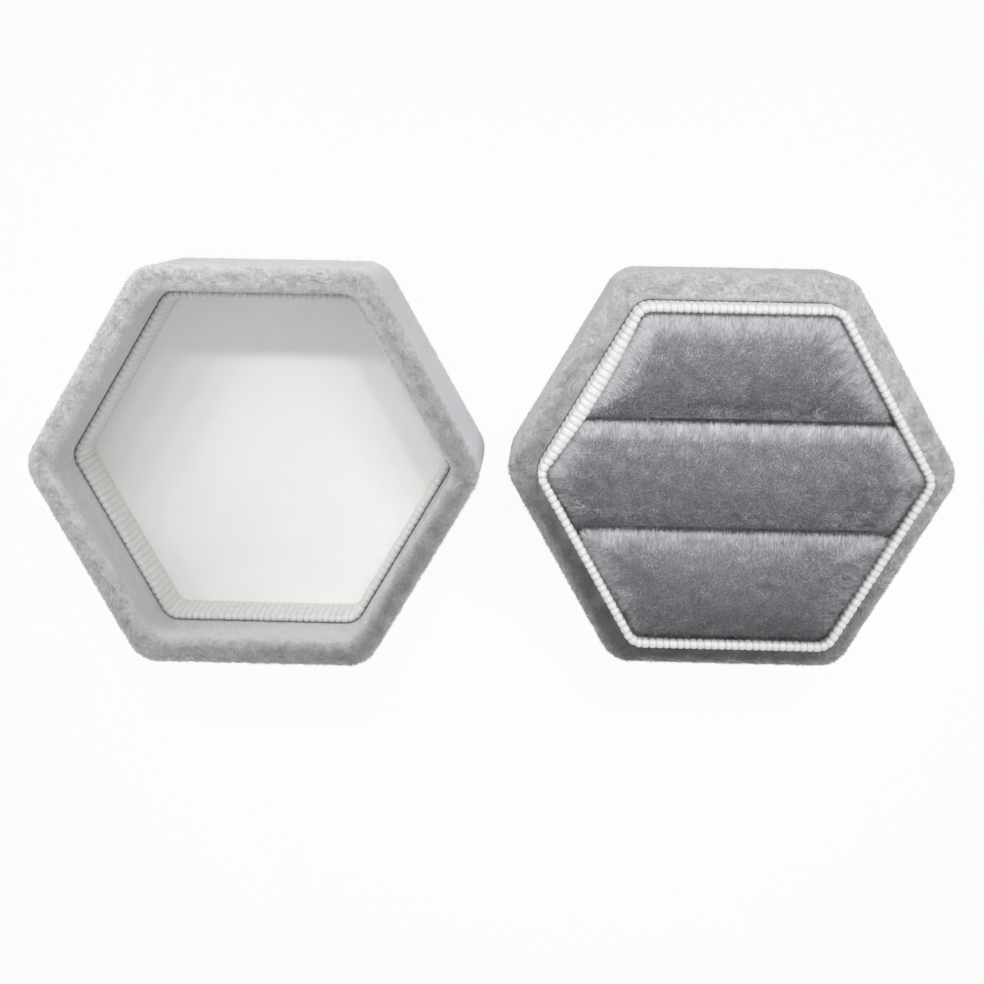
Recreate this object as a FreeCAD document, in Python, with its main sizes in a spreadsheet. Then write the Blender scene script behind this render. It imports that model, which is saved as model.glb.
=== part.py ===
import FreeCAD, Part
import Sketcher
import math
import os

# Six-sided velvet ring box: the lid lies on its top at the left, the base stands at the right.
# Both halves are cups that open upwards, so one set of functions makes them. Millimetres.

doc = FreeCAD.newDocument("ring_box")
sheet = doc.addObject("Spreadsheet::Sheet", "sizes")

# Driving sizes

DRIVING = [
    ("across_flats", 52.0),
    ("outer_corner", 4.5),
    ("base_height", 20.0),
    ("lid_height", 26.0),
    ("halves_gap", 3.348),
    ("velvet", 1.0),
    ("rim_round", 1.6),
    ("foot_round", 1.8),
    ("shell_floor", 2.0),
    ("lid_wall", 1.55),
    ("lid_clearance", 0.35),
    ("mouth_corner", 2.6),
    ("collar_rise", 6.3),
    ("collar_corner", 2.6),
    ("lid_collar_drop", 9.5),
    ("collar_board", 0.4),
    ("ribbon_fold", 0.32),
    ("ribbon_lining", 0.28),
    ("collar_tuck", 2.7),
    ("lid_collar_tuck", 1.7),
    ("rib_pitch", 0.89),
    ("rib_relief", 0.2),
    ("collar_seat", 0.1),
    ("insert_clearance", 0.15),
    ("insert_board", 1.2),
    ("insert_corner", 2.0),
    ("roll_height", 14.0),
    ("roll_drop", 0.3),
    ("roll_slot", 0.6),
    ("roll_crown", 0.6),
    ("roll_top", 2.8),
    ("roll_shoulder", 3.0),
    ("roll_draw_in", 0.5),
    ("roll_pile", 1.5),
    ("pad_board", 1.2),
    ("pad_height", 6.2),
    ("pad_crown", 0.5),
    ("pad_crown_run", 6.0),
    ("pad_shoulder", 1.4),
    ("pad_draw_in", 0.2),
    ("pad_corner", 0.8),
    ("satin", 0.5),
]

# Sizes that follow from the driving ones

DERIVED = [
    ("outer_flat", "across_flats / 2"),
    ("shell_flat", "outer_flat - velvet"),
    ("base_wall", "lid_wall + lid_clearance - collar_seat"),
    ("lid_mouth_flat", "shell_flat - lid_wall - velvet"),
    ("base_mouth_flat", "shell_flat - base_wall - velvet"),
    ("base_wall_inner", "shell_flat - base_wall"),
    ("lid_wall_inner", "shell_flat - lid_wall"),
    ("collar_flat", "lid_mouth_flat - lid_clearance"),
    ("card_flat", "collar_flat - ribbon_fold"),
    ("card_inner_flat", "card_flat - collar_board"),
    ("collar_inner_flat", "card_inner_flat - ribbon_lining"),
    ("collar_inner_corner", "collar_corner - ribbon_fold - collar_board - ribbon_lining"),
    ("floor_level", "velvet + shell_floor"),
    ("collar_top", "base_height + collar_rise"),
    ("lid_collar_top", "lid_height - lid_collar_drop"),
    ("ribbon_depth", "collar_rise + collar_tuck"),
    ("lid_ribbon_depth", "lid_collar_top - floor_level - pad_height + lid_collar_tuck"),
    ("insert_flat", "collar_inner_flat - insert_clearance"),
    ("roll_level", "collar_top - roll_drop - roll_height"),
    ("riser_height", "roll_level - insert_board - floor_level"),
    ("roll_width", "(2 * insert_flat - 2 * roll_slot) / 3"),
    ("roll_near", "roll_width / 2 + roll_slot"),
    ("roll_crown_run", "roll_width / 2 - roll_shoulder - roll_top / 2"),
    ("wadding_flat", "insert_flat - satin"),
    ("outer_reach", "(outer_flat - outer_corner) / cos(30) + outer_corner"),
    ("base_x", "outer_reach + halves_gap / 2"),
    ("lid_x", "-base_x"),
]


def fill_sheet():
    """Write each size in its own row, with its name beside it and as its alias."""
    rows = [(name, str(value)) for name, value in DRIVING]
    rows += [(name, "=" + formula) for name, formula in DERIVED]
    for row, (name, text) in enumerate(rows, start=1):
        sheet.set(f"A{row}", name)
        sheet.set(f"B{row}", text)
        sheet.setAlias(f"B{row}", name)
    doc.recompute()


def cell(formula):
    """Turn a formula of size names into one that reads them from the sheet."""
    names = sorted((name for name, _ in DRIVING + DERIVED), key=len, reverse=True)
    words = formula.replace("(", "( ").replace(")", " )").split()
    return " ".join("sizes." + word if word in names else word for word in words)


def value(name):
    """The number that the sheet holds for a size."""
    return float(sheet.get(name))


# Sketches and features that all the pieces share

def new_body(label, x_name, half_turn=False):
    """A body whose centre line stands at the middle of its half of the box."""
    body = doc.addObject("PartDesign::Body", label)
    body.Label = label
    turn = FreeCAD.Rotation(FreeCAD.Vector(0, 0, 1), 180 if half_turn else 0)
    body.Placement = FreeCAD.Placement(FreeCAD.Vector(0, 0, 0), turn)
    body.setExpression("Placement.Base.x", cell(x_name))
    return body


def new_sketch(body, name, role, level=None):
    """An empty sketch on one of the body's own planes, lifted to a level."""
    sketch = body.newObject("Sketcher::SketchObject", name)
    support = next(item for item in body.Origin.OriginFeatures if item.Role == role)
    sketch.AttachmentSupport = [(support, "")]
    sketch.MapMode = "FlatFace"
    if level:
        sketch.setExpression("AttachmentOffset.Base.z", cell(level))
    return sketch


def bind(sketch, constraint, formula):
    """Add a dimension to a sketch and tie it to the sheet."""
    index = sketch.addConstraint(constraint)
    sketch.setExpression(f"Constraints[{index}]", formula)


def outline(body, name, sides, level):
    """A straight-sided plan: each side is (the way it faces in degrees, its distance from the middle).

    A side that faces the middle has True as a third item, because the middle then lies outside it.
    """
    sketch = new_sketch(body, name, "XY_Plane", level)
    count = len(sides)
    lines = []
    for side in sides:
        facing = math.radians(side[0])
        away = -8.0 if len(side) > 2 else 20.0
        lines.append((math.cos(facing), math.sin(facing), away))
    corners = []
    for step in range(count):
        (a, b, e), (c, d, f) = lines[step - 1], lines[step]
        det = a * d - b * c
        corners.append(FreeCAD.Vector((e * d - b * f) / det, (a * f - e * c) / det, 0))
    for step in range(count):
        sketch.addGeometry(Part.LineSegment(corners[step], corners[(step + 1) % count]), False)
    for step, side in enumerate(sides):
        sketch.addConstraint(Sketcher.Constraint("Coincident", step, 2, (step + 1) % count, 1))
        if side[0] % 180 == 90:
            sketch.addConstraint(Sketcher.Constraint("Horizontal", step))
        else:
            run = corners[(step + 1) % count] - corners[step]
            sketch.addConstraint(Sketcher.Constraint("Angle", step, math.atan2(run.y, run.x)))
        bind(sketch, Sketcher.Constraint("Distance", -1, 1, step, abs(lines[step][2])), cell(side[1]))
    return sketch


def hexagon(body, name, flat, level):
    """A six-sided plan with corners on the X axis, sized by the distance to its flats."""
    return outline(body, name, [(30 + 60 * step, flat) for step in range(6)], level)


def pad(body, sketch, name, length):
    feature = body.newObject("PartDesign::Pad", name)
    feature.Profile = sketch
    feature.setExpression("Length", cell(length))
    doc.recompute()
    return feature


def pocket(body, sketch, name, length):
    """Cut downwards from the level of the sketch."""
    feature = body.newObject("PartDesign::Pocket", name)
    feature.Profile = sketch
    feature.setExpression("Length", cell(length))
    doc.recompute()
    return feature


def round_edges(body, feature, name, radius, choose):
    """Round the edges of a feature that a test picks out."""
    picked = [f"Edge{i}" for i, edge in enumerate(feature.Shape.Edges, start=1) if choose(edge)]
    fillet = body.newObject("PartDesign::Fillet", name)
    fillet.Base = (feature, picked)
    fillet.setExpression("Radius", cell(radius))
    doc.recompute()
    return fillet


def upright(edge):
    box = edge.BoundBox
    return box.ZLength > 1e-3 and box.XLength < 1e-3 and box.YLength < 1e-3


def upright_inside(flat_name):
    """Test for upright edges at the corners of an inner outline."""
    limit = value(flat_name) / math.cos(math.radians(30)) + 1e-3

    def choose(edge):
        centre = edge.CenterOfMass
        return upright(edge) and math.hypot(centre.x, centre.y) < limit
    return choose


def at_level(level):
    """Test for edges that lie flat at a height."""
    def choose(edge):
        box = edge.BoundBox
        return abs(box.ZMin - level) < 1e-3 and abs(box.ZMax - level) < 1e-3
    return choose


def six_sided_block(label, x_name, flat, corner, level, height):
    """A solid six-sided block with rounded corners."""
    body = new_body(label, x_name)
    block = pad(body, hexagon(body, label + "_plan", flat, level), label + "_block", height)
    round_edges(body, block, label + "_corners", corner, upright)
    return body


def six_sided_cup(label, x_name, outline, mouth, depth):
    """A block hollowed from its top: outline and mouth are (flat, corner), depth is (level, height, floor)."""
    level, height, floor = depth
    body = six_sided_block(label, x_name, outline[0], outline[1], level, height)
    plan = hexagon(body, label + "_mouth", mouth[0], f"{level} + {height}")
    hollow = pocket(body, plan, label + "_hollow", f"{height} - {floor}")
    round_edges(body, hollow, label + "_mouth_corners", mouth[1], upright_inside(mouth[0]))
    return body


def six_sided_band(label, x_name, outline, mouth, level, height):
    """A strip bent into a six-sided ring, open at both ends."""
    body = six_sided_block(label, x_name, outline[0], outline[1], level, height)
    plan = hexagon(body, label + "_bore", mouth[0], f"{level} + {height}")
    bore = pocket(body, plan, label + "_through", height)
    round_edges(body, bore, label + "_bore_corners", mouth[1], upright_inside(mouth[0]))
    return body


def cut(label, blank, *tools):
    """Take one or more pieces out of a blank, so that they seat in it face to face."""
    result = blank
    for count, tool in enumerate(tools, start=1):
        last = count == len(tools)
        piece = doc.addObject("Part::Cut", label if last else f"{label}_step_{count}")
        piece.Label = label if last else f"{label}_step_{count}"
        piece.Base = result
        piece.Tool = tool
        result = piece
    doc.recompute()
    return result


# Shell and velvet of each half: the velvet is a soft-edged cup with the shell taken out of it

def velvet_blank(label, x_name, height, mouth_flat):
    body = six_sided_block(label, x_name, "outer_flat", "outer_corner", "0", height)
    block = body.Tip
    foot = round_edges(body, block, label + "_foot", "foot_round", at_level(0.0))
    plan = hexagon(body, label + "_mouth", mouth_flat, height)
    hollow = pocket(body, plan, label + "_hollow", f"{height} - velvet")
    corner = round_edges(body, hollow, label + "_mouth_corners", "mouth_corner", upright_inside(mouth_flat))
    rim = at_level(value(height))
    round_edges(body, corner, label + "_rim", "rim_round", rim)
    return body


def shell(label, x_name, height, inner_flat):
    outline = ("shell_flat", "outer_corner - velvet")
    mouth = (inner_flat, "mouth_corner + velvet")
    return six_sided_cup(label, x_name, outline, mouth, ("velvet", f"{height} - 2 * velvet", "shell_floor"))


fill_sheet()

base_shell = shell("base_shell", "base_x", "base_height", "base_wall_inner")
base_blank = velvet_blank("base_velvet_blank", "base_x", "base_height", "base_mouth_flat")
base_velvet = cut("base_velvet", base_blank, base_shell)

lid_shell = shell("lid_shell", "lid_x", "lid_height", "lid_wall_inner")
lid_blank = velvet_blank("lid_velvet_blank", "lid_x", "lid_height", "lid_mouth_flat")
lid_velvet = cut("lid_velvet", lid_blank, lid_shell)


# Collars: a card band in each half, with a ribbed ribbon folded over its free edge

def collar_card(label, x_name, top):
    outline = ("card_flat", "collar_corner - ribbon_fold")
    bore = ("card_inner_flat", "collar_corner - ribbon_fold - collar_board")
    return six_sided_band(label, x_name, outline, bore, "floor_level", f"{top} - ribbon_fold - floor_level")


def along_hexagon(flat, corner, distance):
    """Point and outward direction at a distance along a six-sided outline with round corners."""
    half = (flat - corner) * math.tan(math.radians(30))
    arc = corner * math.radians(60)
    side, rest = divmod(distance, 2 * half + arc)
    facing = math.radians(30 + 60 * side)
    run = min(rest, 2 * half) - half
    bend = max(rest - 2 * half, 0.0) / corner
    out = FreeCAD.Vector(math.cos(facing + bend), math.sin(facing + bend), 0)
    normal = FreeCAD.Vector(math.cos(facing), math.sin(facing), 0)
    tangent = FreeCAD.Vector(-math.sin(facing), math.cos(facing), 0)
    return normal * (flat - corner) + tangent * run + out * corner, out


def ribbed_outline(flat, corner, relief):
    """Closed wire of ridges; a positive relief stands outwards, a negative one inwards."""
    length = 12 * (flat - corner) * math.tan(math.radians(30)) + 2 * math.pi * corner
    count = 6 * round(length / (6 * value("rib_pitch")))
    points = []
    for half_step in range(2 * count):
        point, out = along_hexagon(flat, corner, half_step * length / (2 * count))
        points.append(point if half_step % 2 else point - out * relief)
    return Part.makePolygon(points + points[:1])


def plain_outline(flat, corner):
    """Closed wire of six straight sides and six round corners."""
    half = (flat - corner) * math.tan(math.radians(30))
    arc = corner * math.radians(60)
    edges = []
    for side in range(6):
        start = side * (2 * half + arc)
        marks = [start, start + 2 * half - 1e-9, start + 2 * half + arc / 2, start + 2 * half + arc]
        points = [along_hexagon(flat, corner, mark % (6 * (2 * half + arc)))[0] for mark in marks]
        edges.append(Part.makeLine(points[0], points[1]))
        edges.append(Part.Arc(points[1], points[2], points[3]).toShape())
    return Part.Wire(Part.__sortEdges__(edges))


def ribbon_blank(label, x_name, top, depth, ribs_outside):
    """The folded ribbon before its card is taken out, ribbed on the side that shows."""
    outer = (value("collar_flat"), value("collar_corner"))
    inner = (value("collar_inner_flat"), value("collar_inner_corner"))
    relief = value("rib_relief")
    if ribs_outside:
        wires = [ribbed_outline(*outer, relief), plain_outline(*inner)]
    else:
        wires = [plain_outline(*outer), ribbed_outline(*inner, -relief)]
    face = Part.makeFace(wires, "Part::FaceMakerBullseye")
    blank = doc.addObject("Part::Feature", label)
    blank.Label = label
    blank.Shape = face.extrude(FreeCAD.Vector(0, 0, value(depth)))
    level = value(top) - value(depth)
    blank.Placement = FreeCAD.Placement(FreeCAD.Vector(value(x_name), 0, level), FreeCAD.Rotation())
    return blank


collar = collar_card("collar_card", "base_x", "collar_top")
collar_blank = ribbon_blank("collar_ribbon_blank", "base_x", "collar_top", "ribbon_depth", True)
collar_ribbon = cut("collar_ribbon", collar_blank, collar)

lid_collar = collar_card("lid_collar_card", "lid_x", "lid_collar_top")
lid_collar_blank = ribbon_blank("lid_collar_ribbon_blank", "lid_x", "lid_collar_top", "lid_ribbon_depth", False)
lid_collar_ribbon = cut("lid_collar_ribbon", lid_collar_blank, lid_collar)


# Ring pad: a foam riser and a card, and on it three crowned rolls of foam in velvet

def flat_faced(shape):
    """The same solid with straight edges and true planes, which a ruled loft stores as curves."""
    faces = []
    for face in shape.Faces:
        corners = [vertex.Point for vertex in face.OuterWire.OrderedVertexes]
        faces.append(Part.Face(Part.makePolygon(corners + corners[:1])))
    shell = Part.Shell(faces)
    shell.sewShape()
    solid = Part.Solid(Part.Shell(shell.Faces))
    return solid if solid.Volume > 0 else solid.reversed()


def cushion(label, x_name, plan, heights, edge, half_turn=False):
    """A soft block lofted through plans: sides drawn in below, a shoulder and a crowned top.

    plan gives the sides for an inset, heights is (level, top), edge is (draw-in, shoulder, crown, crown run).
    On the shoulder, at each turn: inset = shoulder * (1 - cos(turn)), fall = shoulder * (1 - sin(turn)).
    """
    body = new_body(label + "_loft", x_name, half_turn)
    level, top = heights
    draw_in, shoulder, crown, run = edge
    stations = [(level, draw_in)]
    for turn in (0, 22.5, 45, 67.5, 90):
        inward = 1 - math.cos(math.radians(turn))
        fall = 1 - math.sin(math.radians(turn))
        height = f"{top} - {crown} - {fall:.5f} * ( {shoulder} )"
        stations.append((height, f"{inward:.5f} * ( {shoulder} )"))
    stations.append((top, f"{shoulder} + {run}"))
    sections = []
    for count, (height, inset) in enumerate(stations, start=1):
        sections.append(outline(body, f"{label}_plan_{count}", plan(inset), height))
    form = body.newObject("PartDesign::AdditiveLoft", label + "_form")
    form.Profile = sections[0]
    form.Sections = sections[1:]
    form.Ruled = True
    doc.recompute()
    block = doc.addObject("Part::Feature", label)
    block.Label = label
    block.Shape = flat_faced(body.Shape)
    return block


def roll_sides(place, inset):
    """Plan of one roll: it keeps to the collar outside and to the ring slots between the rolls."""
    side = f"insert_flat - ( {inset} )"
    if place == "middle":
        long_side = f"roll_width / 2 - ( {inset} )"
        return [(30, side), (90, long_side), (150, side), (210, side), (270, long_side), (330, side)]
    return [(30, side), (90, side), (150, side), (270, f"roll_near + ( {inset} )", True)]


def roll_core(label, place):
    """Foam strip with square edges, as it is cut from the sheet."""
    body = new_body(label, "base_x", place == "front")
    plan = outline(body, label + "_plan", roll_sides(place, "roll_pile"), "roll_level")
    pad(body, plan, label + "_strip", "roll_height - roll_pile - roll_crown")
    return body


def roll_blank(label, place):
    """The outer form of a roll, before its foam is taken out."""
    heights = ("roll_level", "collar_top - roll_drop")
    edge = ("roll_draw_in", "roll_shoulder", "roll_crown", "roll_crown_run")
    return cushion(label, "base_x", lambda inset: roll_sides(place, inset), heights, edge, place == "front")


insert_riser = six_sided_block("insert_riser", "base_x", "insert_flat", "insert_corner",
                               "floor_level", "riser_height")
insert_card = six_sided_block("insert_card", "base_x", "insert_flat", "insert_corner",
                              "floor_level + riser_height", "insert_board")
rolls = []
for place in ("rear", "middle", "front"):
    core = roll_core("roll_foam_" + place, place)
    blank = roll_blank(f"roll_velvet_{place}_blank", place)
    rolls += [core, cut("roll_velvet_" + place, blank, core)]


# Lid ceiling: card, wadding with a soft crown, and satin over both

def lid_pad(label, level, skin):
    """The padded ceiling of the lid, kept back from its outer form by a skin."""
    def plan(inset):
        return [(30 + 60 * step, f"insert_flat - {skin} - ( {inset} )") for step in range(6)]
    heights = (level, f"floor_level + pad_height - {skin}")
    edge = ("pad_draw_in", f"pad_shoulder - {skin}", "pad_crown", "pad_crown_run")
    return cushion(label, "lid_x", plan, heights, edge)


lid_pad_card = six_sided_block("lid_pad_card", "lid_x", "wadding_flat", "pad_corner",
                               "floor_level", "pad_board")
lid_pad_wadding = lid_pad("lid_pad_wadding", "floor_level + pad_board", "satin")
satin_blank = lid_pad("lid_pad_satin_blank", "floor_level", "0")
lid_pad_satin = cut("lid_pad_satin", satin_blank, lid_pad_wadding, lid_pad_card)

# Check every object, then write one file for each piece

PIECES = [base_shell, base_velvet, collar, collar_ribbon, insert_riser, insert_card]
PIECES += rolls
PIECES += [lid_shell, lid_velvet, lid_collar, lid_collar_ribbon, lid_pad_card, lid_pad_wadding, lid_pad_satin]

doc.recompute()
for item in doc.Objects:
    faults = [state for state in item.State if state in ("Invalid", "Error")]
    if faults:
        raise RuntimeError(f"{item.Label}: {faults}")
os.makedirs("parts", exist_ok=True)
for piece in PIECES:
    if piece.Shape.isNull() or not piece.Shape.isValid() or len(piece.Shape.Solids) != 1:
        raise RuntimeError(f"{piece.Label}: not one sound solid")
    piece.Shape.exportStep(f"parts/{piece.Label}.step")
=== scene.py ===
import bpy
import numpy as np
from mathutils import Matrix


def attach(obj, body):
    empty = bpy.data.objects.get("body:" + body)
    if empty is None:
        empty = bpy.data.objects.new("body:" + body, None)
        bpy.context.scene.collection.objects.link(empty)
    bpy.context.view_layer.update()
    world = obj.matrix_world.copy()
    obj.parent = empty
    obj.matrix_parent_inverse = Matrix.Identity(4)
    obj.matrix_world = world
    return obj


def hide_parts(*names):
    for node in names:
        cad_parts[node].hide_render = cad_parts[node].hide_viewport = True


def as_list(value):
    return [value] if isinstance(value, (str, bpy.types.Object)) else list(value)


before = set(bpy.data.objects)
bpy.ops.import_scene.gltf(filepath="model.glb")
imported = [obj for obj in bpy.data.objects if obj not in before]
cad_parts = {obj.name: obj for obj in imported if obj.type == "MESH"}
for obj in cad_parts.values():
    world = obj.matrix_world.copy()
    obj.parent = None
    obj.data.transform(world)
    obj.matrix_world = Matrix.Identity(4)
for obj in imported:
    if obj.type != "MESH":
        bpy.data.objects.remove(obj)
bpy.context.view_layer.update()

# Shells: two six-sided cups moulded in stiff grey plastic, one for the base and one for the lid.
# They carry everything else and are covered all over by the velvet, so they keep their CAD shape
# and only take the finish of a plain moulding.


def add_node(tree, kind, inputs=None, **settings):
    """Add a node to a material or a group; each input is a value or another node's output."""
    made = tree.nodes.new(kind)
    for name, value in settings.items():
        setattr(made, name, value)
    for name, value in (inputs or {}).items():
        if isinstance(value, bpy.types.NodeSocket):
            tree.links.new(value, made.inputs[name])
        else:
            made.inputs[name].default_value = value
    return made


def add_mix(tree, share, first, second, **settings):
    """The colour between two colours: first + (second - first) * share."""
    mix = add_node(tree, "ShaderNodeMix", {"Factor": share, "A": first, "B": second},
                   data_type="RGBA", **settings)
    return mix.outputs["Result"]


def new_group(name, inputs, outputs):
    """A shader node group with named inputs and outputs, given as (name, socket kind, value)."""
    group = bpy.data.node_groups.new(name, "ShaderNodeTree")
    for label, kind, value in inputs:
        socket = group.interface.new_socket(label, in_out="INPUT", socket_type=kind)
        if value is not None:
            socket.default_value = value
    for label, kind in outputs:
        group.interface.new_socket(label, in_out="OUTPUT", socket_type=kind)
    return group, group.nodes.new("NodeGroupInput").outputs, group.nodes.new("NodeGroupOutput").inputs


def new_material(name):
    """A node material with its shader, its object coordinates and a maker of further nodes."""
    material = bpy.data.materials.new(name)
    material.use_nodes = True
    tree = material.node_tree
    shader = tree.nodes["Principled BSDF"]
    place = tree.nodes.new("ShaderNodeTexCoord").outputs["Object"]
    return material, tree, shader, place


def speckle_group():
    """Two tones mixed by a soft noise: tone = dark + (light - dark) * noise, and its relief."""
    tone_in = [("Vector", "NodeSocketVector", None), ("Scale", "NodeSocketFloat", 1000.0),
               ("Detail", "NodeSocketFloat", 4.0), ("Low", "NodeSocketFloat", 0.35),
               ("High", "NodeSocketFloat", 0.65), ("Dark", "NodeSocketColor", (0, 0, 0, 1)),
               ("Light", "NodeSocketColor", (1, 1, 1, 1))]
    tone_out = [("Color", "NodeSocketColor"), ("Mask", "NodeSocketFloat")]
    group, given, put = new_group("speckle", tone_in, tone_out)
    noise = add_node(group, "ShaderNodeTexNoise", {"Vector": given["Vector"], "Scale": given["Scale"],
                                                   "Detail": given["Detail"], "Roughness": 0.6})
    spread = add_node(group, "ShaderNodeMapRange",
                      {"Value": noise.outputs["Fac"], "From Min": given["Low"], "From Max": given["High"]},
                      interpolation_type="SMOOTHSTEP")
    tone = add_mix(group, spread.outputs["Result"], given["Dark"], given["Light"])
    group.links.new(spread.outputs["Result"], put["Mask"])
    group.links.new(tone, put["Color"])
    return group


speckle = speckle_group()


def add_speckle(tree, place, scale, dark, light, low=0.35, high=0.65, detail=4.0):
    """Place the speckle group in a material with its own scale, in marks per metre, and tones."""
    made = tree.nodes.new("ShaderNodeGroup")
    made.node_tree = speckle
    tree.links.new(place, made.inputs["Vector"])
    for name, value in (("Scale", scale), ("Detail", detail), ("Low", low), ("High", high),
                        ("Dark", (*dark, 1)), ("Light", (*light, 1))):
        made.inputs[name].default_value = value
    return made


def add_bump(tree, shader, height, strength, distance):
    """Relief in the finish: a height, its strength and its depth in metres."""
    bump = add_node(tree, "ShaderNodeBump", {"Height": height, "Strength": strength, "Distance": distance})
    tree.links.new(bump.outputs["Normal"], shader.inputs["Normal"])


def moulded_plastic():
    material, tree, shader, place = new_material("moulded_plastic")
    tone = add_speckle(tree, place, 900.0, (0.60, 0.60, 0.59), (0.72, 0.72, 0.70))
    grain = add_speckle(tree, place, 6000.0, (0, 0, 0), (1, 1, 1))
    tree.links.new(tone.outputs["Color"], shader.inputs["Base Color"])
    shader.inputs["Roughness"].default_value = 0.55
    add_bump(tree, shader, grain.outputs["Mask"], 0.25, 0.00005)
    return material


def dress_node(node, material):
    """Give a CAD node that keeps its shape its finish."""
    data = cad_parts[node].data
    data.materials.clear()
    data.materials.append(material)


shell_finish = moulded_plastic()
for shell in ("base_shell", "lid_shell"):
    dress_node(shell, shell_finish)


# Case velvet: pale grey velvet glued round the outside of each shell, over its rim and down inside.
# The backing cloth is one skin that wraps the wall; its short pile is crushed in swirls, most of all
# on the rims, and lies flatter on the walls.

BASE_X, LID_X = 31.0, -31.0
OUTER_FLAT = 26.0
SIDE_SHARE = 0.84
RIM_ROWS, ROUND_ROWS = 6, 10


def six_sided(flat, corner, turn):
    """Plan points round a six-sided outline: flat is half its width, corner the round of its corners.

    turn runs from 0 to 6, one for each side: the first SIDE_SHARE of it goes along the straight run,
    the rest round the corner arc. x, y = (flat - corner) * facing + run * tangent + corner * bend.
    """
    flat, corner, turn = np.broadcast_arrays(flat, corner, turn)
    side = np.floor(turn)
    part = turn - side
    facing = np.radians(30 + 60 * side)
    run = (np.minimum(part, SIDE_SHARE) / SIDE_SHARE * 2 - 1) * (flat - corner) * np.tan(np.radians(30))
    bend = facing + np.radians(60) * np.maximum(part - SIDE_SHARE, 0) / (1 - SIDE_SHARE)
    x = (flat - corner) * np.cos(facing) - run * np.sin(facing) + corner * np.cos(bend)
    y = (flat - corner) * np.sin(facing) + run * np.cos(facing) + corner * np.sin(bend)
    return np.stack([x, y], axis=-1)


def ripple(points, length, seed, waves=24):
    """Soft random relief, about -1 to 1: a sum of cosine waves of that length in random directions."""
    rng = np.random.default_rng(seed)
    way = rng.normal(size=(waves, 3))
    way /= np.linalg.norm(way, axis=1, keepdims=True)
    number = 2 * np.pi / (length * rng.uniform(0.7, 1.4, waves))
    phase = rng.uniform(0, 2 * np.pi, waves)
    total = np.cos(points.reshape(-1, 3) @ (way * number[:, None]).T + phase).sum(axis=1)
    return (total / np.sqrt(waves)).reshape(points.shape[:-1])


def grid_normals(grid):
    """Unit normals of a grid whose columns close on themselves: column step crossed with row step."""
    along = np.roll(grid, -1, axis=1) - np.roll(grid, 1, axis=1)
    across = np.gradient(grid, axis=0)
    normal = np.cross(along, across)
    return normal / np.maximum(np.linalg.norm(normal, axis=-1, keepdims=True), 1e-9)


def grid_faces(rows, columns, ring=False):
    """Quads between the rows of a grid whose columns close; with ring, its last row joins its first."""
    i = np.arange(rows if ring else rows - 1)[:, None]
    j = np.arange(columns)[None, :]
    near, far = i * columns, (i + 1) % rows * columns
    after = (j + 1) % columns
    corners = np.broadcast_arrays(near + j, near + after, far + after, far + j)
    return np.stack(corners, axis=-1).reshape(-1, 4)


def pole_faces(ring, pole, inward):
    """Triangles from the points of a closed ring to one point, turned over for the start of a grid."""
    after = np.roll(ring, -1)
    middle = np.full(len(ring), pole)
    return np.stack([middle, after, ring] if inward else [middle, ring, after], axis=-1)


def make_piece(name, points, *face_sets, smooth=True):
    """A mesh object from points in millimetres and arrays of faces with 3 or 4 corners each."""
    corners = np.concatenate([faces.ravel() for faces in face_sets])
    counts = np.concatenate([np.full(len(faces), faces.shape[1]) for faces in face_sets])
    mesh = bpy.data.meshes.new(name)
    mesh.vertices.add(len(points))
    mesh.vertices.foreach_set("co", (points * 0.001).astype(np.float32).ravel())
    mesh.loops.add(len(corners))
    mesh.loops.foreach_set("vertex_index", corners.astype(np.int32))
    mesh.polygons.add(len(counts))
    mesh.polygons.foreach_set("loop_start", (np.cumsum(counts) - counts).astype(np.int32))
    mesh.polygons.foreach_set("use_smooth", np.full(len(counts), smooth))
    mesh.update(calc_edges=True)
    mesh.validate()
    piece = bpy.data.objects.new(name, mesh)
    bpy.context.scene.collection.objects.link(piece)
    return piece


def closed_grid(name, grid):
    """A closed piece from a grid that starts and ends at a point: both ends get a pole."""
    rows, columns = grid.shape[:2]
    points = np.concatenate([grid.reshape(-1, 3), grid[[0, -1]].mean(axis=1)])
    first = np.arange(columns)
    last = first + (rows - 1) * columns
    return make_piece(name, points, grid_faces(rows, columns), pole_faces(first, rows * columns, True),
                      pole_faces(last, rows * columns + 1, False))


def arc(start, end, count):
    """Angles in radians from start to end degrees, without the end."""
    return np.radians(np.linspace(start, end, count, endpoint=False))


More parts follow.
